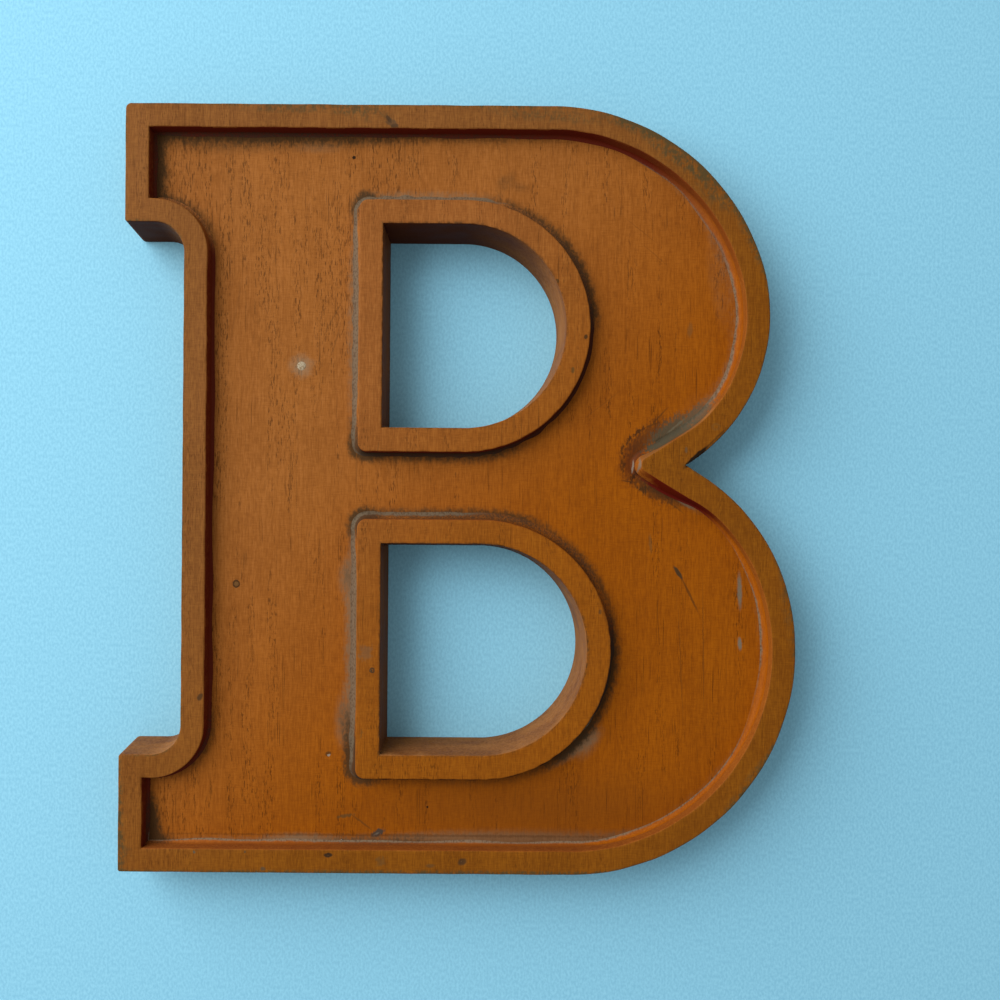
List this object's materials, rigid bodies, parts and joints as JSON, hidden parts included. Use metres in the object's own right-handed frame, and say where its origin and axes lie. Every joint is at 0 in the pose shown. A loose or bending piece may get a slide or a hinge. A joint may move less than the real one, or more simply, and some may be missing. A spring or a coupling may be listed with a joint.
{
  "type": "wooden sign letter",
  "caption": "Slab-serif capital letter B in painted wood, its flat face sunk inside raised borders, with leaning sides and two counters cut through.",
  "frame": {"origin": "centre of the bounding box on the flat back, which lies on the floor", "axes": "+Z out of the face, +Y up the letter as it is read, +X to the reader's right"},
  "size_m": [0.2712, 0.308, 0.0254],
  "materials": {
    "painted_board": "thin worn orange-brown paint over vertical grain",
    "painted_border": "the same paint, darker and dirtier on the tops",
    "fillet_filler": "grey-brown putty, rubbed",
    "brad_iron": "dark, painted over",
    "hole_filler": "pale putty"
  },
  "bodies": {
    "root": {"stem_board": "painted_board", "bowl_board": "painted_board", "outer_border": "painted_border", "upper_counter_border": "painted_border", "lower_counter_border": "painted_border", "outer_fillet": "fillet_filler", "upper_counter_fillet": "fillet_filler", "lower_counter_fillet": "fillet_filler", "outer_border_brads": "brad_iron", "counter_border_brad": "brad_iron", "hole_fillings": "hole_filler"}
  },
  "joints": []
}
